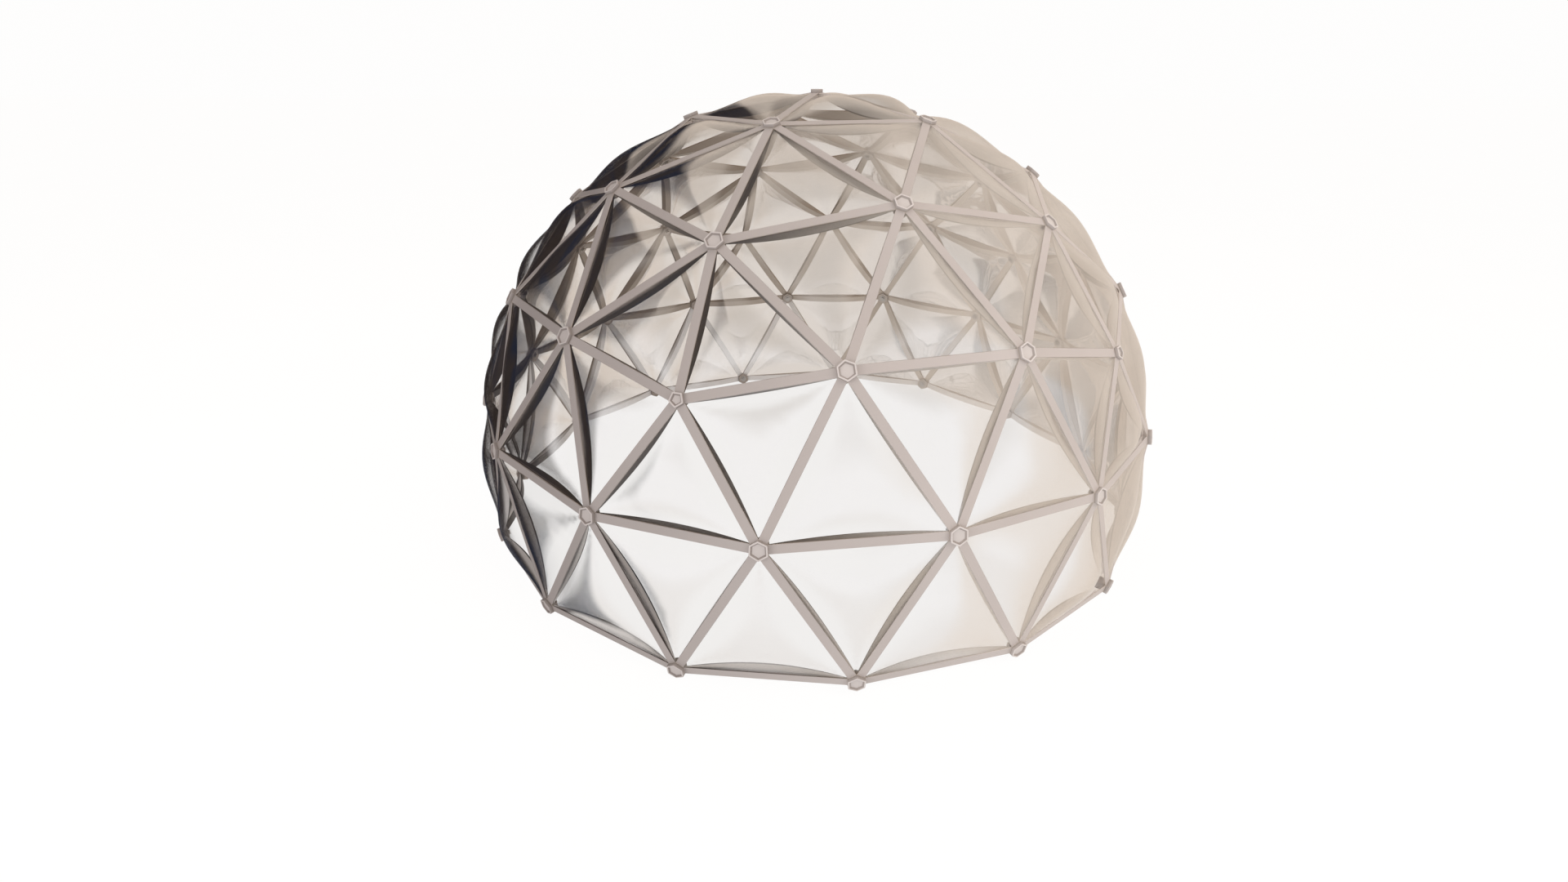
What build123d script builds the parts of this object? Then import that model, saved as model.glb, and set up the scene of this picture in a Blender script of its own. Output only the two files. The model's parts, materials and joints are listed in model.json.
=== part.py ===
from build123d import *
import itertools
import math
import os

# Dome climber: a 5/8 geodesic dome (frequency 3, class I) that children climb on
# and sit inside. Straight bars with a flat face and a bowed back run between
# hexagonal and pentagonal hubs, and a clear bubble panel closes every triangle.
# Frame: millimetres, +Z up, Z = 0 is the ground, the axis of the dome is X = Y = 0.

# ---- driving dimensions --------------------------------------------------------
R = 1500.0            # nominal radius of the dome
R_FACE = 1506.0       # outer face of the hub caps
R_BAR = 1497.0        # outer face of the bars, measured on the hub axes
FREQUENCY = 3         # each icosahedron edge is divided in three
TIERS = 5             # rows of triangles kept below the apex (5/8 of the sphere)
TURN = 36.0           # degrees, turns the five-fold figure about Z

BAR_W = 31.0          # width of a bar
BAR_T = 8.0           # depth of a bar at its two ends
BOW_DEPTH = 44.0      # depth of a bar at mid-length, where its back is bowed most
BAR_EDGE = 1.2        # chamfer along the two outer edges of a bar

HUB_AP6 = 29.4        # centre to flat, six-sided hub
HUB_AP5 = 21.8        # centre to flat, five-sided hub
CAP_T = 13.0          # hub cap thickness
CORE_T = 24.0         # hub core thickness
SOCKET_DEPTH = 6.0    # recess in the face of the cap
SOCKET_RIM = 5.0      # width of the land around the recess
SOCKET_SLOPE = 4.0    # how far the recess walls lean in
HOLE_D = 10.8         # clearance hole for the hub bolt
BOLT_D = 10.0
BOLT_HEAD_AF = 17.0
BOLT_HEAD_T = 6.4
WASHER_D = 34.0
WASHER_T = 2.5

PANEL_T = 4.0         # clear panel sheet
PANEL_RISE = 46.0     # bubble height at the middle of a panel
PANEL_CORNER = 0.8    # clearance between a cut panel corner and the hub

FOOT_CUT = 3.0        # the five lowest hubs are trimmed flat by this much

os.makedirs("parts", exist_ok=True)


# ---- vector helpers -------------------------------------------------------------
def add(a, b):
    return (a[0] + b[0], a[1] + b[1], a[2] + b[2])


def sub(a, b):
    return (a[0] - b[0], a[1] - b[1], a[2] - b[2])


def mul(a, s):
    return (a[0] * s, a[1] * s, a[2] * s)


def dot(a, b):
    return a[0] * b[0] + a[1] * b[1] + a[2] * b[2]


def cross(a, b):
    return (
        a[1] * b[2] - a[2] * b[1],
        a[2] * b[0] - a[0] * b[2],
        a[0] * b[1] - a[1] * b[0],
    )


def unit(a):
    n = math.sqrt(dot(a, a))
    return (a[0] / n, a[1] / n, a[2] / n)


# ---- the geodesic net --------------------------------------------------------
def icosahedron():
    verts = [(0.0, 0.0, 1.0)]
    for half, z in ((0, 1 / math.sqrt(5)), (1, -1 / math.sqrt(5))):
        for k in range(5):
            a = math.radians(TURN + 72 * k + 36 * half)
            verts.append((2 / math.sqrt(5) * math.cos(a), 2 / math.sqrt(5) * math.sin(a), z))
    verts.append((0.0, 0.0, -1.0))
    faces = []
    for k in range(5):
        n = (k + 1) % 5
        faces += [(0, 1 + k, 1 + n), (1 + k, 6 + k, 1 + n), (1 + n, 6 + k, 6 + n), (11, 6 + n, 6 + k)]
    return verts, faces


def net():
    verts, faces = icosahedron()
    points, index, tris = [], {}, []

    def vertex(p):
        key = tuple(round(c, 6) for c in p)
        if key not in index:
            index[key] = len(points)
            points.append(p)
        return index[key]

    n = FREQUENCY
    for f in faces:
        a, b, c = (verts[i] for i in f)
        grid = {}
        for i in range(n + 1):
            for j in range(n + 1 - i):
                k = n - i - j
                grid[i, j] = vertex(unit(add(add(mul(a, i), mul(b, j)), mul(c, k))))
        for i in range(n):
            for j in range(n - i):
                tris.append((grid[i, j], grid[i + 1, j], grid[i, j + 1]))
                if i + j < n - 1:
                    tris.append((grid[i + 1, j], grid[i + 1, j + 1], grid[i, j + 1]))
    near = {i: set() for i in range(len(points))}
    for t in tris:
        for a, b in itertools.permutations(t, 2):
            near[a].add(b)
    apex = max(range(len(points)), key=lambda i: points[i][2])
    row, queue = {apex: 0}, [apex]
    while queue:
        i = queue.pop(0)
        for j in sorted(near[i]):
            if j not in row:
                row[j] = row[i] + 1
                queue.append(j)
    return points, tris, near, row


POINTS, TRIS, NEAR, ROW = net()
HUBS = [i for i in range(len(POINTS)) if ROW[i] <= TIERS]
FACES = [t for t in TRIS if all(ROW[i] <= TIERS for i in t)]
EDGES = sorted({tuple(sorted(e)) for t in FACES for e in itertools.combinations(t, 2)})
assert (len(HUBS), len(EDGES), len(FACES)) == (61, 165, 105)


def apothem(i):
    return HUB_AP5 if len(NEAR[i]) == 5 else HUB_AP6


def hub_outline(i, inset=0.0):
    """Corners of the hub's section in its own plane, flats square to the bars."""
    n = POINTS[i]
    first = POINTS[min(NEAR[i])]
    ref = unit(sub(first, mul(n, dot(first, n))))
    other = cross(n, ref)
    angles = sorted(math.atan2(dot(POINTS[j], other), dot(POINTS[j], ref)) for j in NEAR[i])
    ap = apothem(i) - inset
    corners = []
    for k, a in enumerate(angles):
        b = angles[(k + 1) % len(angles)]
        if b < a:
            b += 2 * math.pi
        r = ap / math.cos((b - a) / 2)
        corners.append((r * math.cos((a + b) / 2), r * math.sin((a + b) / 2)))
    return ref, corners


def hub_plane(i, radius):
    ref, _ = hub_outline(i)
    return Plane(origin=mul(POINTS[i], radius), x_dir=ref, z_dir=POINTS[i])


# height of the dome's centre above the ground
def lowest_corner():
    low = 0.0
    for i in HUBS:
        ref, corners = hub_outline(i)
        other = cross(POINTS[i], ref)
        for r in (R_FACE, R_FACE - CAP_T - CORE_T):
            for x, y in corners:
                low = min(low, POINTS[i][2] * r + ref[2] * x + other[2] * y)
    return low


CENTRE_Z = -(lowest_corner() + FOOT_CUT)
LOWEST = min(POINTS[i][2] for i in HUBS)
LIFT = Location((0, 0, CENTRE_Z))


# ---- hubs --------------------------------------------------------------------
def polygon(corners, z):
    return Wire.make_polygon([(x, y, z) for x, y in corners], close=True)


def prism(corners, z0, z1):
    return Solid.extrude(Face(polygon(corners, z0)), Vector(0, 0, z1 - z0))


def make_core(i):
    """Hub core in its own frame, outer end at z = -CAP_T."""
    _, corners = hub_outline(i)
    body = prism(corners, -CAP_T - CORE_T, -CAP_T)
    hole = Pos(0, 0, -CAP_T - CORE_T / 2) * Cylinder(HOLE_D / 2, CORE_T + 2)
    return body - hole


def make_cap(i):
    """Hub cap in its own frame, outer face at z = 0, with its sloping socket."""
    _, corners = hub_outline(i)
    body = prism(corners, -CAP_T, 0)
    _, top = hub_outline(i, SOCKET_RIM)
    _, bottom = hub_outline(i, SOCKET_RIM + SOCKET_SLOPE)
    socket = Solid.make_loft([polygon(bottom, -SOCKET_DEPTH), polygon(top, 0)], ruled=True)
    body = body - socket
    hole = Pos(0, 0, -CAP_T + 2.5) * Cylinder(HOLE_D / 2, 5.0)
    return body - hole


def one(shape):
    solids = shape.solids()
    assert len(solids) == 1, len(solids)
    return solids[0]


def trim(shape):
    """Cuts what would reach below the ground off a hub, in the dome's frame."""
    ground = Pos(0, 0, -100) * Box(6000, 6000, 200)
    return shape - ground


def build_hubs():
    cores, caps, bolts, washers = {}, {}, {}, {}
    head_r = BOLT_HEAD_AF / 2 / math.cos(math.pi / 6)
    head = prism(
        [(head_r * math.cos(math.radians(60 * k)), head_r * math.sin(math.radians(60 * k))) for k in range(6)],
        -CAP_T - CORE_T - WASHER_T - BOLT_HEAD_T,
        -CAP_T - CORE_T - WASHER_T,
    )
    shank_len = CORE_T + WASHER_T + 4.5
    shank = Pos(0, 0, -CAP_T - CORE_T - WASHER_T + shank_len / 2) * Cylinder(BOLT_D / 2, shank_len)
    bolt = one(head + shank)
    washer = one(
        Pos(0, 0, -CAP_T - CORE_T - WASHER_T / 2)
        * (Cylinder(WASHER_D / 2, WASHER_T) - Cylinder(HOLE_D / 2, WASHER_T + 2))
    )
    for i in HUBS:
        place = LIFT * hub_plane(i, R_FACE).location
        core, cap = place * one(make_core(i)), place * one(make_cap(i))
        if ROW[i] == TIERS and POINTS[i][2] < LOWEST + 1e-6:
            core, cap = trim(core), trim(cap)
        k = ROW[i]
        cores.setdefault(k, []).append(one(core))
        caps.setdefault(k, []).append(one(cap))
        bolts.setdefault(k, []).append(one(place * bolt))
        washers.setdefault(k, []).append(one(place * washer))
    return cores, caps, bolts, washers


# ---- bow-backed bars ------------------------------------------------------------
def make_bar(half_angle, ap_a, ap_b):
    """Side view in XY (X along the bar, Y outward), extruded BAR_W along Z: a flat
    outer face and a bowed back. The ends are cut parallel to the two hub axes so
    that they sit flat on the hubs."""
    half = R_BAR * math.sin(half_angle)
    s, c = math.sin(half_angle), math.cos(half_angle)

    def end(ap, depth):
        return half - (ap + depth * s) / c

    xa, xb = -end(ap_a, BAR_T), end(ap_b, BAR_T)
    mid = (xa + xb) / 2
    top = [(-end(ap_a, 0), 0), (end(ap_b, 0), 0)]
    outline = Wire(
        [
            Edge.make_line(top[0], top[1]),
            Edge.make_line(top[1], (xb, -BAR_T)),
            Edge.make_three_point_arc((xb, -BAR_T), (mid, -BOW_DEPTH), (xa, -BAR_T)),
            Edge.make_line((xa, -BAR_T), top[0]),
        ]
    )
    bar = Pos(0, 0, -BAR_W / 2) * Solid.extrude(Face(outline), Vector(0, 0, BAR_W))
    long_edges = [
        e
        for e in one(bar).edges()
        if abs(e.center().Y) < 1e-6 and abs(abs(e.center().Z) - BAR_W / 2) < 1e-6
    ]
    assert len(long_edges) == 2
    return one(one(bar).chamfer(BAR_EDGE, None, long_edges))


def build_bars():
    made, groups = {}, {}
    for a, b in EDGES:
        if len(NEAR[b]) == 5:
            a, b = b, a
        pa, pb = POINTS[a], POINTS[b]
        half_angle = math.acos(dot(pa, pb)) / 2
        key = (round(half_angle, 6), len(NEAR[a]), len(NEAR[b]))
        if key not in made:
            made[key] = make_bar(half_angle, apothem(a), apothem(b))
        out = unit(add(pa, pb))
        along = unit(sub(pb, pa))
        origin = mul(out, R_BAR * math.cos(half_angle))
        plane = Plane(origin=origin, x_dir=along, z_dir=cross(along, out))
        ra, rb = sorted((ROW[a], ROW[b]))
        name = f"bars_ring_{ra}" if ra == rb else f"bars_tier_{rb}"
        groups.setdefault(name, []).append(one(LIFT * plane.location * made[key]))
    assert len(made) == 3, made.keys()
    return groups


# ---- bubble panels ---------------------------------------------------------------
def bubble(a, b, c, rise):
    """Cubic bubble over the flat triangle abc: straight edges, full height inside."""
    net_points = []
    for i in range(4):
        u = i / 3
        line = []
        for j in range(3):
            v = j / 2
            p = add(add(mul(a, 1 - u), mul(b, u * (1 - v))), mul(c, u * v))
            if (i, j) == (2, 1):
                p = add(p, (0, 0, 4.5 * rise))
            line.append(p)
        net_points.append(line)
    return Face.make_bezier_surface(net_points)


def meet(planes, z):
    """Where two side planes (n, d) and the level z meet."""
    (n1, d1), (n2, d2) = planes
    r1, r2 = d1 - n1[2] * z, d2 - n2[2] * z
    det = n1[0] * n2[1] - n1[1] * n2[0]
    return ((r1 * n2[1] - r2 * n1[1]) / det, (n1[0] * r2 - n2[0] * r1) / det, z)


def make_panel(corners, depth, hub_reach):
    """Panel in its own frame: origin under the circumcentre, Z outward.
    corners are the three hub-axis points, depth is the distance to the dome centre."""
    centre = (0, 0, -depth)
    planes = []
    for k in range(3):
        p, q = corners[k], corners[(k + 1) % 3]
        n = unit(cross(sub(p, centre), sub(q, centre)))
        if dot(n, sub(corners[(k + 2) % 3], centre)) < 0:
            n = mul(n, -1)
        planes.append((n, dot(n, centre) + BAR_W / 2))
    # corner k lies between side k - 1 and side k
    outer = [meet((planes[k - 1], planes[k]), 0.0) for k in range(3)]
    inner = [meet((planes[k - 1], planes[k]), -PANEL_T) for k in range(3)]
    faces = [bubble(*outer, PANEL_RISE), bubble(*inner, PANEL_RISE)]
    for k in range(3):
        m = (k + 1) % 3
        faces.append(Face(Wire.make_polygon([outer[k], outer[m], inner[m], inner[k]], close=True)))
    body = Solid(Shell(faces))
    if body.volume < 0:
        body = Solid(Shell([f for f in reversed(faces)]))
    # cut the three corners square, clear of the hubs
    for k in range(3):
        axis = unit(sub(corners[k], centre))
        inward = unit((-corners[k][0], -corners[k][1], 0))
        square = unit(sub(inward, mul(axis, dot(inward, axis))))
        start = add(corners[k], mul(square, hub_reach[k] + PANEL_CORNER))
        plane = Plane(origin=start, x_dir=cross(axis, square), z_dir=mul(square, -1))
        cutter = plane.location * (Pos(0, 0, 50) * Box(120, 120, 100))
        body = body - cutter
    return one(body)


def build_panels():
    made, groups = {}, {}
    for t in FACES:
        pts = [POINTS[i] for i in t]
        # start from the corner opposite the odd side, so that equal panels match
        sides = [dot(pts[(k + 1) % 3], pts[(k + 2) % 3]) for k in range(3)]
        k0 = max(range(3), key=lambda k: abs(sides[k] - sides[(k + 1) % 3]) + abs(sides[k] - sides[(k + 2) % 3]))
        order = [t[(k0 + s) % 3] for s in range(3)]
        pts = [POINTS[i] for i in order]
        n = unit(cross(sub(pts[1], pts[0]), sub(pts[2], pts[0])))
        if dot(n, pts[0]) < 0:
            n = mul(n, -1)
            order = [order[0], order[2], order[1]]
            pts = [POINTS[i] for i in order]
        depth = R_BAR * dot(n, pts[0])
        origin = mul(n, depth)
        first = unit(sub(mul(pts[0], R_BAR), origin))
        plane = Plane(origin=origin, x_dir=first, z_dir=n)
        other = cross(n, first)
        local = []
        for p in pts:
            d = sub(mul(p, R_BAR), origin)
            local.append((dot(d, first), dot(d, other), 0.0))
        kinds = [len(NEAR[i]) for i in order]
        key = (round(depth, 2), tuple(kinds))
        if key not in made:
            reach = []
            for k, i in enumerate(order):
                u = unit(sub(mul(POINTS[order[(k + 1) % 3]], 1), mul(POINTS[i], dot(POINTS[i], POINTS[order[(k + 1) % 3]]))))
                w = unit(sub(mul(POINTS[order[(k + 2) % 3]], 1), mul(POINTS[i], dot(POINTS[i], POINTS[order[(k + 2) % 3]]))))
                reach.append(apothem(i) / math.cos(math.acos(dot(u, w)) / 2))
            made[key] = make_panel(local, depth, reach)
        tier = max(ROW[i] for i in t)
        kind = "corner" if 5 in kinds else "field"
        name = f"panels_{kind}_tier_{tier}"
        groups.setdefault(name, []).append(one(LIFT * plane.location * made[key]))
    print("panel shapes", list(made.keys()), [round(m.volume) for m in made.values()])
    return groups


# ---- write the nodes ----------------------------------------------------------
def write(name, solids):
    export_step(Compound(children=list(solids)), f"parts/{name}.step")
    print(f"{name}: {len(solids)} solids, {sum(s.volume for s in solids) / 1e3:.1f} cm3")


for name, solids in sorted(build_bars().items()):
    write(name, solids)
cores, caps, bolts, washers = build_hubs()
for k in sorted(cores):
    write(f"hub_cores_row_{k}", cores[k])
    write(f"hub_caps_row_{k}", caps[k])
    write(f"hub_bolts_row_{k}", bolts[k])
    write(f"hub_washers_row_{k}", washers[k])
for name, solids in sorted(build_panels().items()):
    write(name, solids)
print("dome centre height", round(CENTRE_Z, 3))
for solid in caps[TIERS] + cores[TIERS]:
    for face in solid.faces():
        c = face.center()
        if abs(c.Z) < 1e-6 and face.normal_at(c).Z < -0.999:
            print("foot facet", round(c.X, 4), round(c.Y, 4), round(c.Z, 4), "area", round(face.area, 2))
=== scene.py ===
import itertools
import math

import bmesh
import bpy
from mathutils import Matrix, Vector
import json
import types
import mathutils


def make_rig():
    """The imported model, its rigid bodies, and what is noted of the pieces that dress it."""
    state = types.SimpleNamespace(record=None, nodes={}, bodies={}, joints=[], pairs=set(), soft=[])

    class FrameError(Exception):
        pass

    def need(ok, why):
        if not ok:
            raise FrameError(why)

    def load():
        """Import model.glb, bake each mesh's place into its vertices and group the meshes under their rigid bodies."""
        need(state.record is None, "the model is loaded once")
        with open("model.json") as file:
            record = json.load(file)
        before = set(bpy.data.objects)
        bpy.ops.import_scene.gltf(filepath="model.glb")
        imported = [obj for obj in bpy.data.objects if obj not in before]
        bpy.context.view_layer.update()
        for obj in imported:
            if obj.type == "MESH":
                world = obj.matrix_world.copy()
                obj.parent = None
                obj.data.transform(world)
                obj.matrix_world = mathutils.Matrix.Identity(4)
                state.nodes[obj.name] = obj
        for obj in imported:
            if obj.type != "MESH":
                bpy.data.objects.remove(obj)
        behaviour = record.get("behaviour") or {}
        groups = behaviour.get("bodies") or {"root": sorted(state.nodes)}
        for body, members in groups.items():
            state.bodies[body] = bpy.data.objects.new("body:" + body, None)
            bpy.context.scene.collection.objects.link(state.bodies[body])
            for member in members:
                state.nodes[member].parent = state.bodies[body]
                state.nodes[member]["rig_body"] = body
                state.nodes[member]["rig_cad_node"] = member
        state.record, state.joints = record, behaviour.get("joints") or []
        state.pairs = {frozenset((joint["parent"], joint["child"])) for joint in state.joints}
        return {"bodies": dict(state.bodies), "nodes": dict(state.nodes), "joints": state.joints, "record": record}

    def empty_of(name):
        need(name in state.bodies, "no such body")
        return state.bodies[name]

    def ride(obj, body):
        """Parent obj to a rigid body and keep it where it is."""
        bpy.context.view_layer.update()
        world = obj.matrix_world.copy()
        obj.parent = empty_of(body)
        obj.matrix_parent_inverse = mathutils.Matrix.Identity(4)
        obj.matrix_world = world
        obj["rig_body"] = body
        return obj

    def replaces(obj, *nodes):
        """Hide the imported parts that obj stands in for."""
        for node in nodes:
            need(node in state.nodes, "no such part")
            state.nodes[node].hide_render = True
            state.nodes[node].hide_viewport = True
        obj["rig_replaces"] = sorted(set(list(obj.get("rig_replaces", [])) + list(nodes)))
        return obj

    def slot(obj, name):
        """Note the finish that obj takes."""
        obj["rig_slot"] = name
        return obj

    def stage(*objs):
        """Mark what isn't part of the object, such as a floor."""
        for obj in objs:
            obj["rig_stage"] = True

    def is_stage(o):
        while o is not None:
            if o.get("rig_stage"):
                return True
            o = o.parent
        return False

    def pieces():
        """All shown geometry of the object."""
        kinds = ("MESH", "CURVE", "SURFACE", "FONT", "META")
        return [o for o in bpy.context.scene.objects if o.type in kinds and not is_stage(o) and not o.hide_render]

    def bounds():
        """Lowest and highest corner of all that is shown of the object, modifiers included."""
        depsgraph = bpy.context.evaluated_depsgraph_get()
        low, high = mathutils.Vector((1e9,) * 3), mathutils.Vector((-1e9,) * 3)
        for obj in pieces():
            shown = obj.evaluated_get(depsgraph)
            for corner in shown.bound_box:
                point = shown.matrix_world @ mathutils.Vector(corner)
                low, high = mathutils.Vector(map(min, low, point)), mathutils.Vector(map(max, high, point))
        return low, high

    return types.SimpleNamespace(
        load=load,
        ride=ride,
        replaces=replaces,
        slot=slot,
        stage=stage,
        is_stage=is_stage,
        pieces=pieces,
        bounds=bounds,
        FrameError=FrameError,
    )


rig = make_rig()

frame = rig.load()


def write_size(tag, mode):
    with open("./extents.json", mode) as f:
        f.write(f"{tag} {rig.bounds()}\n")


write_size("loaded", "w")

# ---- dimensions, metres ---------------------------------------------------------
R_FACE, R_BAR = 1.506, 1.497
TIERS, FREQUENCY, TURN = 5, 3, 36.0
BAR_W, BAR_T, BOW_DEPTH = 0.031, 0.008, 0.044
HUB_AP6, HUB_AP5 = 0.0294, 0.0218
CAP_T, CORE_T = 0.013, 0.024
SOCKET_DEPTH, SOCKET_RIM, SOCKET_SLOPE = 0.006, 0.005, 0.004
PANEL_T, PANEL_RISE, PANEL_CORNER = 0.004, 0.046, 0.0008
CENTRE_Z = 0.31286
LIFT = Matrix.Translation((0, 0, CENTRE_Z))


# ---- the geodesic net -----------------------------------------------------------
def net():
    verts = [Vector((0, 0, 1))]
    for half, z in ((0, 1 / math.sqrt(5)), (1, -1 / math.sqrt(5))):
        for k in range(5):
            a = math.radians(TURN + 72 * k + 36 * half)
            verts.append(Vector((2 / math.sqrt(5) * math.cos(a), 2 / math.sqrt(5) * math.sin(a), z)))
    verts.append(Vector((0, 0, -1)))
    faces = []
    for k in range(5):
        n = (k + 1) % 5
        faces += [(0, 1 + k, 1 + n), (1 + k, 6 + k, 1 + n), (1 + n, 6 + k, 6 + n), (11, 6 + n, 6 + k)]
    points, index, tris = [], {}, []

    def vertex(p):
        key = tuple(round(c, 5) for c in p)
        if key not in index:
            index[key] = len(points)
            points.append(p)
        return index[key]

    n = FREQUENCY
    for f in faces:
        a, b, c = (verts[i] for i in f)
        grid = {}
        for i in range(n + 1):
            for j in range(n + 1 - i):
                grid[i, j] = vertex((a * i + b * j + c * (n - i - j)).normalized())
        for i in range(n):
            for j in range(n - i):
                tris.append((grid[i, j], grid[i + 1, j], grid[i, j + 1]))
                if i + j < n - 1:
                    tris.append((grid[i + 1, j], grid[i + 1, j + 1], grid[i, j + 1]))
    near = {i: set() for i in range(len(points))}
    for t in tris:
        for a, b in itertools.permutations(t, 2):
            near[a].add(b)
    apex = max(range(len(points)), key=lambda i: points[i].z)
    row, queue = {apex: 0}, [apex]
    while queue:
        i = queue.pop(0)
        for j in sorted(near[i]):
            if j not in row:
                row[j] = row[i] + 1
                queue.append(j)
    return points, tris, near, row


POINTS, TRIS, NEAR, ROW = net()
assert len(POINTS) == 92
HUBS = [i for i in range(len(POINTS)) if ROW[i] <= TIERS]
FACES = [t for t in TRIS if all(ROW[i] <= TIERS for i in t)]
EDGES = sorted({tuple(sorted(e)) for t in FACES for e in itertools.combinations(t, 2)})


def apothem(i):
    return HUB_AP5 if len(NEAR[i]) == 5 else HUB_AP6


def basis(x, y, z, origin):
    m = Matrix((x, y, z)).transposed().to_4x4()
    m.translation = origin
    return LIFT @ m


# ---- mesh helpers ---------------------------------------------------------------
def new_object(name, verts, faces, mats, face_mats=None, attrs=None, angle=50):
    mesh = bpy.data.meshes.new(name)
    mesh.from_pydata([tuple(v) for v in verts], [], faces)
    for m in mats:
        mesh.materials.append(m)
    if face_mats:
        mesh.polygons.foreach_set("material_index", face_mats)
    for key, values in (attrs or {}).items():
        layer = mesh.attributes.new(key, "FLOAT", "POINT")
        layer.data.foreach_set("value", values)
    mesh.polygons.foreach_set("use_smooth", [True] * len(mesh.polygons))
    mesh.update()
    mesh.set_sharp_from_angle(angle=math.radians(angle))
    obj = bpy.data.objects.new(name, mesh)
    bpy.context.scene.collection.objects.link(obj)
    return obj


def weighted(obj):
    m = obj.modifiers.new("weighted", "WEIGHTED_NORMAL")
    m.keep_sharp = True
    m.weight = 100


# ---- node helpers ---------------------------------------------------------------
class Nodes:
    def __init__(self, name):
        self.mat = bpy.data.materials.new(name)
        self.mat.use_nodes = True
        self.t = self.mat.node_tree
        self.t.nodes.clear()
        self.out = self.t.nodes.new("ShaderNodeOutputMaterial")

    def add(self, kind, **props):
        n = self.t.nodes.new(kind)
        for k, v in props.items():
            setattr(n, k, v)
        return n

    def link(self, a, b):
        self.t.links.new(a, b)

    def value(self, socket, v):
        if isinstance(v, bpy.types.NodeSocket):
            self.link(v, socket)
        else:
            socket.default_value = v

    def math(self, op, a, b=None, c=None, clamp=False):
        n = self.add("ShaderNodeMath", operation=op, use_clamp=clamp)
        for s, v in zip(n.inputs, (a, b, c)):
            if v is not None:
                self.value(s, v)
        return n.outputs[0]

    def attr(self, name):
        return self.add("ShaderNodeAttribute", attribute_name=name).outputs["Fac"]

    def coords(self):
        return self.add("ShaderNodeTexCoord").outputs["Object"]

    def xyz(self):
        n = self.add("ShaderNodeSeparateXYZ")
        self.link(self.coords(), n.inputs[0])
        return n.outputs

    def noise(self, scale, detail=3.0, rough=0.5, distortion=0.0, stretch=None):
        n = self.add("ShaderNodeTexNoise")
        n.inputs["Scale"].default_value = scale
        n.inputs["Detail"].default_value = detail
        n.inputs["Roughness"].default_value = rough
        n.inputs["Distortion"].default_value = distortion
        vec = self.coords()
        if stretch:
            m = self.add("ShaderNodeMapping")
            m.inputs["Scale"].default_value = stretch
            self.link(vec, m.inputs["Vector"])
            vec = m.outputs[0]
        self.link(vec, n.inputs["Vector"])
        return n.outputs["Fac"]

    def ramp(self, fac, stops, interp="LINEAR"):
        n = self.add("ShaderNodeValToRGB")
        e = n.color_ramp
        e.interpolation = interp
        while len(e.elements) < len(stops):
            e.elements.new(0.5)
        for el, (p, c) in zip(e.elements, stops):
            el.position = p
            el.color = (*c, 1) if len(c) == 3 else c
        self.value(n.inputs[0], fac)
        return n.outputs[0]

    def mix(self, fac, a, b, kind="MIX"):
        n = self.add("ShaderNodeMix", data_type="RGBA", blend_type=kind)
        self.value(n.inputs[0], fac)
        for s, v in ((n.inputs[6], a), (n.inputs[7], b)):
            if isinstance(v, tuple):
                s.default_value = (*v, 1)
            else:
                self.link(v, s)
        return n.outputs[2]

    def map(self, v, a, b, c=0.0, d=1.0):
        n = self.add("ShaderNodeMapRange")
        n.interpolation_type = "SMOOTHSTEP"
        self.value(n.inputs[0], v)
        for s, x in zip(n.inputs[1:5], (a, b, c, d)):
            s.default_value = x
        return n.outputs[0]

    def bump(self, height, strength, distance, normal=None):
        n = self.add("ShaderNodeBump")
        n.inputs["Strength"].default_value = strength
        n.inputs["Distance"].default_value = distance
        self.link(height, n.inputs["Height"])
        if normal:
            self.link(normal, n.inputs["Normal"])
        return n.outputs[0]


def srgb(r, g, b):
    return tuple(
        (c / 255 / 12.92) if c / 255 <= 0.04045 else ((c / 255 + 0.055) / 1.055) ** 2.4 for c in (r, g, b)
    )


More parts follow.
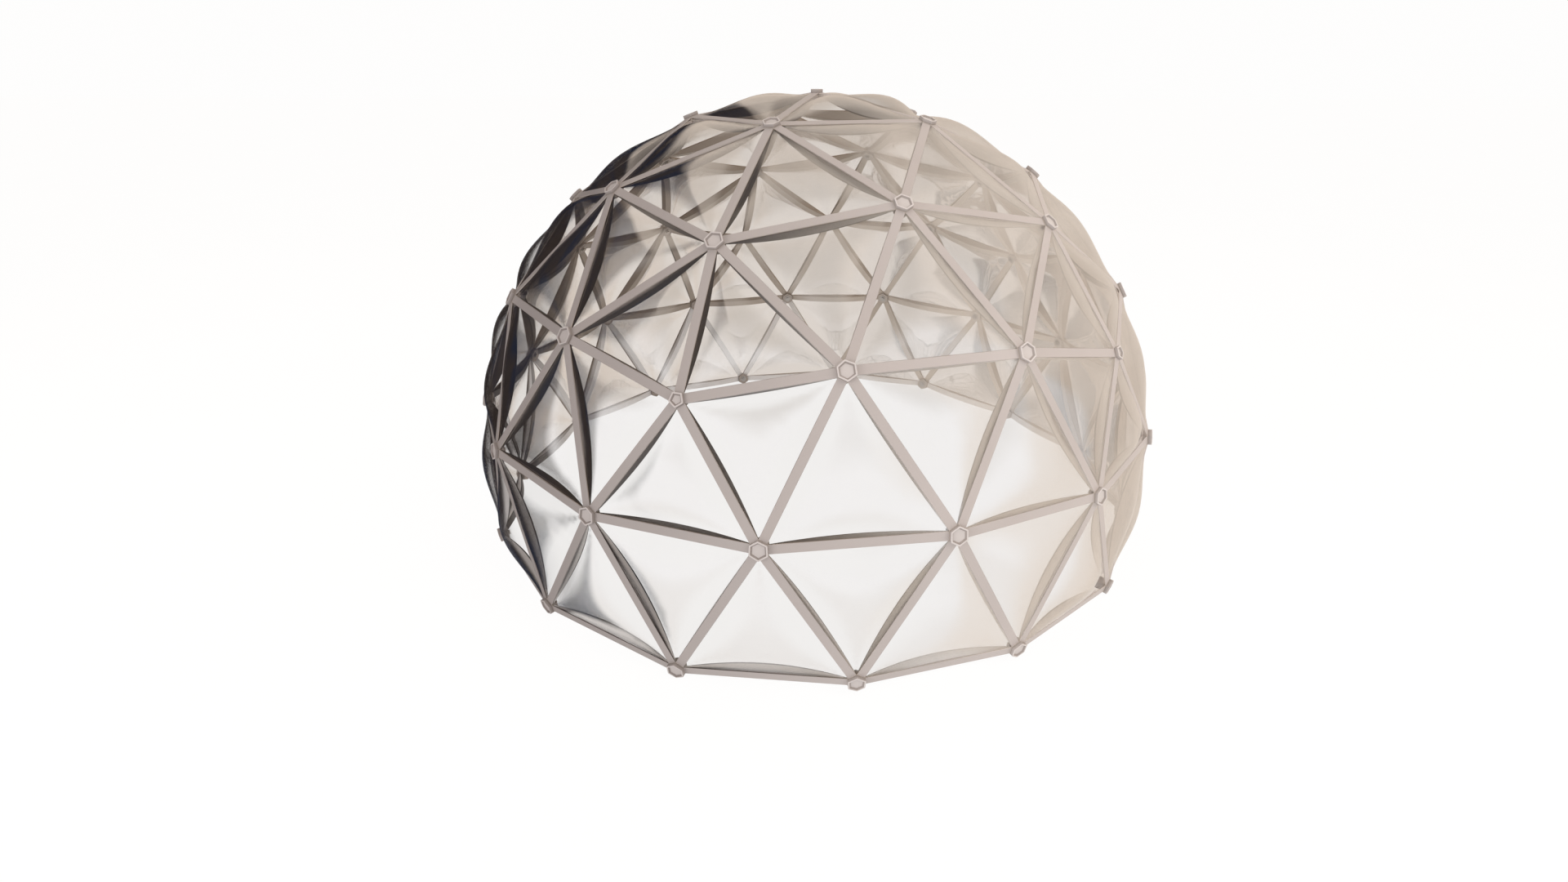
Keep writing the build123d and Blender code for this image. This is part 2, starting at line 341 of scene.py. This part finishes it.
# ---- materials ------------------------------------------------------------------
def painted(name, left, right, wall_left=None, wall_right=None, painted_cap_shade=None, rough=0.42):
    """Satin coated surface. Its colour shifts gently from one side of the dome to the
    other: painted shade on the left, painted light on the right. The bars' flanks carry
    more painted light and shade. They are much darker than their faces on the left,
    paler on the right and mid brown towards the back of the dome. The rim bars' flanks
    carry a pale painted reflection, the front flanks a dark painted reflection line
    along their back edge, and the other flanks a painted highlight band just under the
    face. The caps' outer side walls and socket slopes carry painted shade."""
    m = Nodes(name)
    x, y, z = m.xyz()[:3]
    # painted shade and light: faces run from darker on the left of the dome to lighter on the right, as if lit from
    # the right
    side = m.map(x, -1.25, 1.2)
    base = m.mix(side, left, right)
    cloud = m.noise(9.0, 4.0, 0.6)
    base = m.mix(m.math("MULTIPLY", cloud, 0.10), base, (0.20, 0.17, 0.15))
    # painted shade: the caps' outer side walls and socket slopes are painted darker, more so on the left of the dome
    if painted_cap_shade:
        base = m.mix(m.attr("painted_cap_shade"), base, m.mix(side, *painted_cap_shade))
    if wall_left:
        # painted shade and light: the flanks run from near black on the left of the dome to pale on the right
        wall = m.mix(m.map(x, -0.35, 0.75), wall_left, wall_right)
        # painted light: towards the back of the dome the flanks, seen from inside through the panels, are painted mid
        # brown
        wall = m.mix(m.map(y, 0.0, 0.55), wall, m.mix(side, srgb(150, 138, 127), srgb(208, 195, 181)))
        depth = m.attr("depth")
        low = m.attr("low")
        # painted reflection: the flanks of the bars marked low turn pale grey from 15 to 60 per cent of their depth
        light = m.mix(side, srgb(214, 211, 210), srgb(238, 232, 226))
        wall = m.mix(m.math("MULTIPLY", m.map(depth, 0.15, 0.60), low), wall, light)
        # painted reflection: a dark line along the back edge of the flanks on the front of the dome, near black on the
        # left and brown on the right
        rear_painted_line = m.math("MULTIPLY", m.map(depth, 0.84, 0.90), m.map(y, 0.0, 0.55, 1.0, 0.0))
        wall = m.mix(rear_painted_line, wall, m.mix(m.map(x, -0.5, 0.9), srgb(46, 40, 40), srgb(168, 156, 143)))
        # painted highlight: a pale band just under the face on the flanks of the bars not marked low
        high = m.math("SUBTRACT", 1.0, low)
        ledge = m.math("MULTIPLY", m.attr("ledge"), m.math("MULTIPLY", high, 0.85))
        wall = m.mix(ledge, wall, m.mix(side, srgb(206, 194, 186), srgb(238, 226, 214)))
        base = m.mix(m.attr("wall"), base, wall)
    grain = m.noise(900.0, 2.0, 0.5)
    fine = m.noise(140.0, 3.0, 0.6)
    p = m.add("ShaderNodeBsdfPrincipled")
    m.link(base, p.inputs["Base Color"])
    m.link(m.math("ADD", m.math("MULTIPLY", fine, 0.14), rough - 0.07), p.inputs["Roughness"])
    n = m.bump(grain, 0.12, 0.0003)
    m.link(m.bump(fine, 0.05, 0.0008, n), p.inputs["Normal"])
    m.link(p.outputs[0], m.out.inputs[0])
    return m.mat


def clear(name, tint, base_f, power, rough=0.02, wave=0.35):
    """Clear polished sheet: lets the view straight through with a faint smoke-grey tint and
    mirrors more and more towards grazing angles. Towards the back and the right of the dome
    the tint is painted darker and browner: painted light that stands in for beige
    surroundings. Long mould waves bend the mirror image."""
    m = Nodes(name)
    lw = m.add("ShaderNodeLayerWeight")
    lw.inputs["Blend"].default_value = 0.5
    waves = m.noise(3.2, 2.0, 0.5, 0.6)
    n = m.bump(waves, wave, 0.02)
    graze = lw.outputs["Facing"]
    facing = m.math("POWER", graze, power)
    x, y, z = m.xyz()[:3]
    clean = m.math("MULTIPLY", m.attr("bare"), m.map(x, 0.05, 0.50, 1.0, 0.08))
    sheen = m.math("MULTIPLY", m.math("SUBTRACT", 1.0, clean), base_f)
    cut = m.math("MULTIPLY", clean, m.map(graze, 0.45, 0.85, 0.75, 0.05))
    facing = m.math("MULTIPLY", facing, m.math("SUBTRACT", 1.0, cut))
    f = m.math("ADD", m.math("MULTIPLY", facing, 1 - base_f), sheen, clamp=True)
    tr = m.add("ShaderNodeBsdfTransparent")
    haze = m.noise(5.0, 3.0, 0.55)
    col = m.mix(m.math("MULTIPLY", haze, 0.25), tint, tuple(c * 0.93 for c in tint))
    # painted light: panels at the back and on the right of the dome take a darker, browner tint that stands in for
    # beige surroundings
    painted_beige_reflection = m.math("MAXIMUM", m.map(y, -0.1, 0.6), m.math("MULTIPLY", m.map(x, 0.5, 1.25), 0.6))
    col = m.mix(painted_beige_reflection, col, tuple(c * k for c, k in zip(tint, (0.935, 0.908, 0.882))))
    m.link(col, tr.inputs["Color"])
    gl = m.add("ShaderNodeBsdfGlossy")
    gl.inputs["Color"].default_value = (0.96, 0.95, 0.94, 1)
    smear = m.noise(22.0, 3.0, 0.6)
    m.link(m.math("ADD", m.math("MULTIPLY", smear, 0.05), rough), gl.inputs["Roughness"])
    m.link(n, gl.inputs["Normal"])
    mix = m.add("ShaderNodeMixShader")
    m.link(f, mix.inputs[0])
    m.link(tr.outputs[0], mix.inputs[1])
    m.link(gl.outputs[0], mix.inputs[2])
    m.link(mix.outputs[0], m.out.inputs[0])
    return m.mat


def metal(name, colour):
    m = Nodes(name)
    brushed = m.noise(60.0, 3.0, 0.6, 0.0, (1.0, 1.0, 12.0))
    p = m.add("ShaderNodeBsdfPrincipled")
    p.inputs["Metallic"].default_value = 1.0
    m.link(m.mix(m.math("MULTIPLY", brushed, 0.5), colour, tuple(c * 0.72 for c in colour)), p.inputs["Base Color"])
    m.link(m.math("ADD", m.math("MULTIPLY", brushed, 0.22), 0.22), p.inputs["Roughness"])
    m.link(m.bump(brushed, 0.08, 0.0004), p.inputs["Normal"])
    m.link(p.outputs[0], m.out.inputs[0])
    return m.mat


# the first two colours of each coat are its faces on the left and on the right of the dome: painted shade on the left,
# painted light on the right. BAR's last two are its flanks, painted near black on the left and pale on the right.
# CAP's pair is the painted shade of its side walls and socket slopes
BAR = painted("bar_coat_and_painted_shade", srgb(144, 135, 132), srgb(199, 189, 184), srgb(56, 47, 45), srgb(246, 236, 224))
CAP = painted("cap_coat_and_painted_shade", srgb(174, 165, 162), srgb(220, 212, 208), painted_cap_shade=(srgb(126, 116, 112), srgb(170, 160, 154)), rough=0.36)
CORE = painted("core_coat_and_painted_shade", srgb(148, 137, 129), srgb(194, 183, 172), rough=0.5)
STEEL = metal("brushed_steel", (0.50, 0.47, 0.44))
CLEAR = clear("clear_sheet", (0.952, 0.947, 0.943), 0.22, 2.0)
EDGE = clear("clear_sheet_edge", (0.80, 0.77, 0.74), 0.30, 2.0, rough=0.08)


# ---- bars -----------------------------------------------------------------------
STATIONS = 20


def bar_mesh(a, b, low):
    pa, pb = POINTS[a], POINTS[b]
    ap_a, ap_b = apothem(a), apothem(b)
    h = math.acos(max(-1, min(1, pa.dot(pb)))) / 2
    s, c = math.sin(h), math.cos(h)
    half = R_BAR * s

    def end(ap, depth):
        return half - (ap + depth * s) / c

    verts, faces = [], []
    attr = {"depth": [], "wall": [], "low": [], "ledge": []}
    w, ch = BAR_W / 2, 0.0012
    for k in range(STATIONS + 1):
        t = k / STATIONS
        d = BAR_T + (BOW_DEPTH - BAR_T) * 4 * t * (1 - t)
        r = 0.0009
        # each section point: across the bar, down from the face, whether it is on a flank, and whether it takes the
        # painted highlight band
        section = [
            (w - ch, 0, 0, 0), (w - 0.3 * ch, -0.3 * ch, 0, 0), (w, -ch, 0, 0), (w, -ch - 0.0003, 1, 1), (w, -0.0040, 1, 1), (w, -0.0045, 1, 0),
            (w, -0.0045 - 0.35 * (d - 0.0045), 1, 0), (w, -0.0045 - 0.7 * (d - 0.0045), 1, 0),
            (w, -d + r, 1, 0), (w - 0.3 * r, -d + 0.3 * r, 1, 0), (w - r, -d, 1, 0),
        ]
        section += [(-z, y, wall, ledge) for z, y, wall, ledge in reversed(section)]
        for z, y, wall, ledge in section:
            x = -end(ap_a, -y) * (1 - t) + end(ap_b, -y) * t
            verts.append(Vector((x, y, z)))
            attr["depth"].append(-y / d)
            attr["ledge"].append(float(ledge))
            attr["wall"].append(float(wall))
            attr["low"].append(low)
    n = 22
    for k in range(STATIONS):
        for i in range(n):
            j = (i + 1) % n
            faces.append((k * n + i, (k + 1) * n + i, (k + 1) * n + j, k * n + j))
    faces.append(tuple(range(n)))
    faces.append(tuple(STATIONS * n + i for i in reversed(range(n))))
    out = (pa + pb).normalized()
    along = (pb - pa).normalized()
    side = along.cross(out)
    m = basis(along, out, side, out * (R_BAR * c))
    return [m @ v for v in verts], faces, attr


def make_bars():
    groups = {}
    for a, b in EDGES:
        if len(NEAR[b]) == 5:
            a, b = b, a
        ra, rb = sorted((ROW[a], ROW[b]))
        name = f"bars_ring_{ra}" if ra == rb else f"bars_tier_{rb}"
        # low picks the bars whose flanks take the painted reflection instead of the painted highlight: the rim ring,
        # and the slanted bottom-tier bars on the left of the dome, fading out by the middle
        low = 1.0 if ra == TIERS else 0.0
        if rb == TIERS and ra != TIERS:
            low = min(1.0, max(0.0, (0.17 - (POINTS[a].x + POINTS[b].x) / 2) / 0.2))
        v, f, at = bar_mesh(a, b, low)
        g = groups.setdefault(name, ([], [], {k: [] for k in at}))
        off = len(g[0])
        g[0].extend(v)
        g[1].extend(tuple(i + off for i in face) for face in f)
        for k in at:
            g[2][k].extend(at[k])
    for name, (v, f, at) in sorted(groups.items()):
        obj = new_object(name + "_look", v, f, [BAR], attrs=at)
        weighted(obj)
        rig.ride(obj, "root")
        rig.replaces(obj, name)
        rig.slot(obj, "bar")


# ---- hub caps -------------------------------------------------------------------
def outline(i, inset, radius):
    """The hub's section with rounded corners, three points to a corner."""
    n = POINTS[i]
    first = POINTS[min(NEAR[i])]
    ref = (first - n * first.dot(n)).normalized()
    other = n.cross(ref)
    angles = sorted(math.atan2(POINTS[j].dot(other), POINTS[j].dot(ref)) for j in NEAR[i])
    ap = apothem(i) - inset
    pts = []
    for k, a in enumerate(angles):
        b = angles[(k + 1) % len(angles)]
        if b < a:
            b += 2 * math.pi
        r = ap / math.cos((b - a) / 2)
        corner = Vector((r * math.cos((a + b) / 2), r * math.sin((a + b) / 2)))
        ta = Vector((-math.sin(a), math.cos(a)))
        tb = Vector((-math.sin(b), math.cos(b)))
        p, q = corner - ta * radius, corner + tb * radius
        pts += [p, p * 0.25 + corner * 0.5 + q * 0.25, q]
    return ref, other, pts


def make_caps():
    groups = {}
    # the last number of each ring is how much painted shade it takes: the cap's outer side wall and the socket's
    # slopes are painted darker
    rings = [
        (0.0012, -CAP_T, 0.0016, 1), (0.0, -CAP_T + 0.0010, 0.0018, 1), (0.0, -0.0014, 0.0018, 0.6), (0.0, -0.0010, 0.0018, 0), (0.0003, -0.0003, 0.0018, 0), (0.0010, 0.0, 0.0016, 0),
        (SOCKET_RIM - 0.0006, 0.0, 0.0014, 0), (SOCKET_RIM, -0.0003, 0.0013, 0.5), (SOCKET_RIM + 0.0005, -0.0010, 0.0013, 1),
        (SOCKET_RIM + SOCKET_SLOPE - 0.0004, -SOCKET_DEPTH + 0.0008, 0.001, 1), (SOCKET_RIM + SOCKET_SLOPE + 0.0002, -SOCKET_DEPTH, 0.001, 0.7),
        (SOCKET_RIM + SOCKET_SLOPE + 0.0010, -SOCKET_DEPTH, 0.001, 0.15),
    ]
    for i in HUBS:
        verts, faces, painted_cap_shade = [], [], []
        for inset, z, radius, shade in rings:
            ref, other, pts = outline(i, inset, radius)
            verts += [Vector((p.x, p.y, z)) for p in pts]
            painted_cap_shade += [float(shade)] * len(pts)
        n = len(pts)
        for k in range(len(rings) - 1):
            for j in range(n):
                m = (j + 1) % n
                faces.append((k * n + j, k * n + m, (k + 1) * n + m, (k + 1) * n + j))
        faces.append(tuple(reversed(range(n))))
        faces.append(tuple((len(rings) - 1) * n + j for j in range(n)))
        m = basis(ref, other, POINTS[i], POINTS[i] * R_FACE)
        verts = [m @ v for v in verts]
        for v in verts:
            v.z = max(v.z, 0.0)
        g = groups.setdefault(f"hub_caps_row_{ROW[i]}", ([], [], []))
        off = len(g[0])
        g[0].extend(verts)
        g[1].extend(tuple(x + off for x in face) for face in faces)
        g[2].extend(painted_cap_shade)
    for name, (v, f, painted_cap_shade) in sorted(groups.items()):
        obj = new_object(name + "_look", v, f, [CAP], attrs={"painted_cap_shade": painted_cap_shade}, angle=40)
        weighted(obj)
        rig.ride(obj, "root")
        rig.replaces(obj, name)
        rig.slot(obj, "cap")


# ---- panels ---------------------------------------------------------------------
GRID = 26
STRIP, LOW_STRIP = 0.050, 0.072  # widest part of the clean crescent strip beside each bar


def meet(planes, z):
    (n1, d1), (n2, d2) = planes
    r1, r2 = d1 - n1.z * z, d2 - n2.z * z
    det = n1.x * n2.y - n1.y * n2.x
    return Vector(((r1 * n2.y - r2 * n1.y) / det, (n1.x * r2 - n2.x * r1) / det, z))


def panel_mesh(corners, depth, reach, widest):
    centre = Vector((0, 0, -depth))
    planes = []
    for k in range(3):
        p, q = corners[k], corners[(k + 1) % 3]
        n = (p - centre).cross(q - centre).normalized()
        if n.dot(corners[(k + 2) % 3] - centre) < 0:
            n = -n
        planes.append((n, n.dot(centre) + BAR_W / 2 + 0.0007))
    bm = bmesh.new()
    bare = bm.verts.layers.float.new("bare")
    sheets = []
    for level in (0.0, -PANEL_T):
        tri = [meet((planes[k - 1], planes[k]), level) for k in range(3)]
        high = []
        for k in range(3):
            p, q = tri[(k + 1) % 3], tri[(k + 2) % 3]
            high.append((tri[k] - p).cross(q - p).length / (q - p).length)
        grid = {}
        for i in range(GRID + 1):
            for j in range(GRID + 1 - i):
                b = [(x / GRID) ** 1.5 for x in (i, j, GRID - i - j)]
                b = [x / sum(b) for x in b]
                p = tri[0] * b[0] + tri[1] * b[1] + tri[2] * b[2]
                p.z += 27 * PANEL_RISE * b[0] * b[1] * b[2]
                clean = 0.0
                for k in range(3):
                    u, v = b[(k + 1) % 3], b[(k + 2) % 3]
                    if u + v > 0:
                        t = u / (u + v)
                        strip = 0.004 + widest * 4 * t * (1 - t)
                        x = min(1.0, max(0.0, (b[k] * high[k] - 0.62 * strip) / (0.75 * strip)))
                        clean = max(clean, 1 - x * x * (3 - 2 * x))
                grid[i, j] = bm.verts.new(p)
                grid[i, j][bare] = clean
        sheets.append(grid)
    up, down = sheets
    for i in range(GRID):
        for j in range(GRID - i):
            a, b, c = (i, j), (i + 1, j), (i, j + 1)
            bm.faces.new((up[a], up[b], up[c]))
            bm.faces.new((down[c], down[b], down[a]))
            if i + j < GRID - 1:
                d = (i + 1, j + 1)
                bm.faces.new((up[b], up[d], up[c]))
                bm.faces.new((down[c], down[d], down[b]))
    border = (
        [(k, 0) for k in range(GRID)]
        + [(GRID - k, k) for k in range(GRID)]
        + [(0, GRID - k) for k in range(GRID)]
    )
    for k, a in enumerate(border):
        b = border[(k + 1) % len(border)]
        f = bm.faces.new((up[a], down[a], down[b], up[b]))
        f.material_index = 1
    for k in range(3):
        axis = (corners[k] - centre).normalized()
        inward = Vector((-corners[k].x, -corners[k].y, 0)).normalized()
        square = (inward - axis * inward.dot(axis)).normalized()
        start = corners[k] + square * (reach[k] + PANEL_CORNER)
        got = bmesh.ops.bisect_plane(
            bm, geom=bm.verts[:] + bm.edges[:] + bm.faces[:], plane_co=start, plane_no=-square, clear_outer=True
        )
        rim = [e for e in got["geom_cut"] if isinstance(e, bmesh.types.BMEdge)]
        filled = bmesh.ops.edgeloop_fill(bm, edges=rim)
        for f in filled["faces"]:
            f.material_index = 1
    bmesh.ops.recalc_face_normals(bm, faces=bm.faces[:])
    bm.verts.index_update()
    verts = [v.co.copy() for v in bm.verts]
    faces = [tuple(v.index for v in f.verts) for f in bm.faces]
    mats = [f.material_index for f in bm.faces]
    clean = [v[bare] for v in bm.verts]
    bm.free()
    return verts, faces, mats, clean


def make_panels():
    made, groups = {}, {}
    for t in FACES:
        pts = [POINTS[i] for i in t]
        sides = [pts[(k + 1) % 3].dot(pts[(k + 2) % 3]) for k in range(3)]
        k0 = max(range(3), key=lambda k: abs(sides[k] - sides[(k + 1) % 3]) + abs(sides[k] - sides[(k + 2) % 3]))
        order = [t[(k0 + s) % 3] for s in range(3)]
        pts = [POINTS[i] for i in order]
        n = (pts[1] - pts[0]).cross(pts[2] - pts[0]).normalized()
        if n.dot(pts[0]) < 0:
            n = -n
            order = [order[0], order[2], order[1]]
            pts = [POINTS[i] for i in order]
        depth = R_BAR * n.dot(pts[0])
        origin = n * depth
        first = (pts[0] * R_BAR - origin).normalized()
        other = n.cross(first)
        kinds = tuple(len(NEAR[i]) for i in order)
        tier = max(ROW[i] for i in t)
        widest = LOW_STRIP if tier == TIERS else STRIP
        key = (round(depth, 4), kinds, widest)
        if key not in made:
            local = []
            for p in pts:
                d = p * R_BAR - origin
                local.append(Vector((d.dot(first), d.dot(other), 0)))
            reach = []
            for k, i in enumerate(order):
                p, q, r = POINTS[i], POINTS[order[(k + 1) % 3]], POINTS[order[(k + 2) % 3]]
                u = (q - p * p.dot(q)).normalized()
                w = (r - p * p.dot(r)).normalized()
                reach.append(apothem(i) / math.cos(math.acos(u.dot(w)) / 2))
            made[key] = panel_mesh(local, depth, reach, widest)
        v, f, mi, clean = made[key]
        m = basis(first, other, n, origin)
        name = f"panels_{'corner' if 5 in kinds else 'field'}_tier_{tier}"
        g = groups.setdefault(name, ([], [], [], []))
        off = len(g[0])
        g[0].extend(m @ p for p in v)
        g[1].extend(tuple(x + off for x in face) for face in f)
        g[2].extend(mi)
        g[3].extend(clean)
    for name, (v, f, mi, clean) in sorted(groups.items()):
        obj = new_object(name + "_look", v, f, [CLEAR, EDGE], face_mats=mi, attrs={"bare": clean}, angle=45)
        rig.ride(obj, "root")
        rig.replaces(obj, name)
        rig.slot(obj, "clear")


make_bars()
make_caps()
make_panels()
for name, obj in frame["nodes"].items():
    mat = STEEL if "bolts" in name or "washers" in name else CORE if "cores" in name else None
    if mat:
        obj.data.materials.clear()
        obj.data.materials.append(mat)

# ---- floor, light, camera -----------------------------------------------------------
floor_mesh = bpy.data.meshes.new("floor")
floor_mesh.from_pydata([(-60, -60, 0), (60, -60, 0), (60, 60, 0), (-60, 60, 0)], [], [(0, 1, 2, 3)])
floor = bpy.data.objects.new("floor", floor_mesh)
bpy.context.scene.collection.objects.link(floor)
m = Nodes("floor_white")
p = m.add("ShaderNodeBsdfDiffuse")
m.link(m.mix(m.noise(0.7, 3.0), (0.055, 0.055, 0.055), (0.065, 0.065, 0.065)), p.inputs["Color"])
e = m.add("ShaderNodeEmission")
e.inputs["Color"].default_value = (1.0, 0.995, 0.99, 1)
e.inputs["Strength"].default_value = 0.955
a = m.add("ShaderNodeAddShader")
m.link(p.outputs[0], a.inputs[0])
m.link(e.outputs[0], a.inputs[1])
m.link(a.outputs[0], m.out.inputs[0])
floor_mesh.materials.append(m.mat)
floor.visible_glossy = False
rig.stage(floor)


# The studio round the object: white in front and low, beige behind and above, lighter
# on the right, dark on the left. The camera itself sees a plain white surround.
W = Nodes("studio_nodes")
world = bpy.data.worlds.new("studio")
bpy.context.scene.world = world
world.use_nodes = True
bpy.data.materials.remove(W.mat)
W.t = world.node_tree
W.t.nodes.clear()
W.out = W.t.nodes.new("ShaderNodeOutputWorld")
direction = W.add("ShaderNodeTexCoord").outputs["Generated"]
sep = W.add("ShaderNodeSeparateXYZ")
W.link(direction, sep.inputs[0])
wx, wy, wz = sep.outputs
front = W.mix(W.map(wz, 0.30, 0.90), (0.99, 0.985, 1.0), (0.50, 0.45, 0.40))
behind = W.mix(W.map(wz, 0.15, 0.95), (0.70, 0.60, 0.515), (0.60, 0.53, 0.465))
tone = W.mix(W.map(wy, -0.25, 0.35), front, behind)
tone = W.mix(W.map(wz, -0.60, -0.20, 1.0, 0.0), tone, (0.86, 0.83, 0.81))
right = W.math("MULTIPLY", W.map(wx, 0.12, 0.7), W.map(wy, -0.75, -0.25))
tone = W.mix(right, tone, (0.82, 0.72, 0.63))
streak = W.add("ShaderNodeTexNoise")
streak.inputs["Scale"].default_value = 2.2
streak.inputs["Detail"].default_value = 3.0
W.link(direction, streak.inputs["Vector"])
dark = W.mix(W.map(streak.outputs["Fac"], 0.42, 0.62), (0.030, 0.024, 0.023), (0.010, 0.017, 0.038))
lean = W.math("SUBTRACT", W.math("MULTIPLY", wx, -1.0), W.math("MULTIPLY", W.math("ABSOLUTE", wz), 0.6))
left = W.math("MULTIPLY", W.map(lean, 0.02, 0.14), W.map(wy, -0.40, -0.10))
tone = W.mix(left, tone, dark)
soft = W.add("ShaderNodeBackground")
W.link(tone, soft.inputs[0])
seen = W.add("ShaderNodeBackground")
seen.inputs[0].default_value = (0.99, 0.985, 0.98, 1)
mixw = W.add("ShaderNodeMixShader")
W.link(W.add("ShaderNodeLightPath").outputs["Is Camera Ray"], mixw.inputs[0])
W.link(soft.outputs[0], mixw.inputs[1])
W.link(seen.outputs[0], mixw.inputs[2])
W.link(mixw.outputs[0], W.out.inputs[0])


def area(name, place, target, size, power, colour):
    data = bpy.data.lights.new(name, "AREA")
    data.shape = "RECTANGLE"
    data.size, data.size_y = size
    data.energy = power
    data.color = colour
    obj = bpy.data.objects.new(name, data)
    obj.location = place
    obj.rotation_euler = (Vector(target) - Vector(place)).to_track_quat("-Z", "Y").to_euler()
    obj.visible_glossy = False
    bpy.context.scene.collection.objects.link(obj)


area("key_right", (6.5, -4.5, 6.0), (0, 0, 0.8), (4.5, 4.5), 210, (1.0, 0.97, 0.94))
area("key_left", (-6.0, -6.0, 2.6), (0.6, 0, 0.8), (3.5, 3.0), 210, (1.0, 0.985, 0.97))
area("fill_top", (0, 0, 8.0), (0, 0, 0), (6, 6), 160, (1.0, 0.99, 0.98))

scene = bpy.context.scene
cam_data = bpy.data.cameras.new("camera")
cam = bpy.data.objects.new("camera", cam_data)
scene.collection.objects.link(cam)
cam.location = (-0.0150, -3.4515, 1.5752 + CENTRE_Z)
forward = Vector((-0.0302, 0.9020, -0.4307)).normalized()
cam.rotation_euler = forward.to_track_quat("-Z", "Y").to_euler()
cam_data.sensor_width = 36.0
cam_data.lens = 17.85
cam_data.clip_start = 0.05
cam_data.clip_end = 200
scene.camera = cam
scene.view_settings.view_transform = "Standard"
scene.cycles.transparent_max_bounces = 24

write_size("finished", "a")
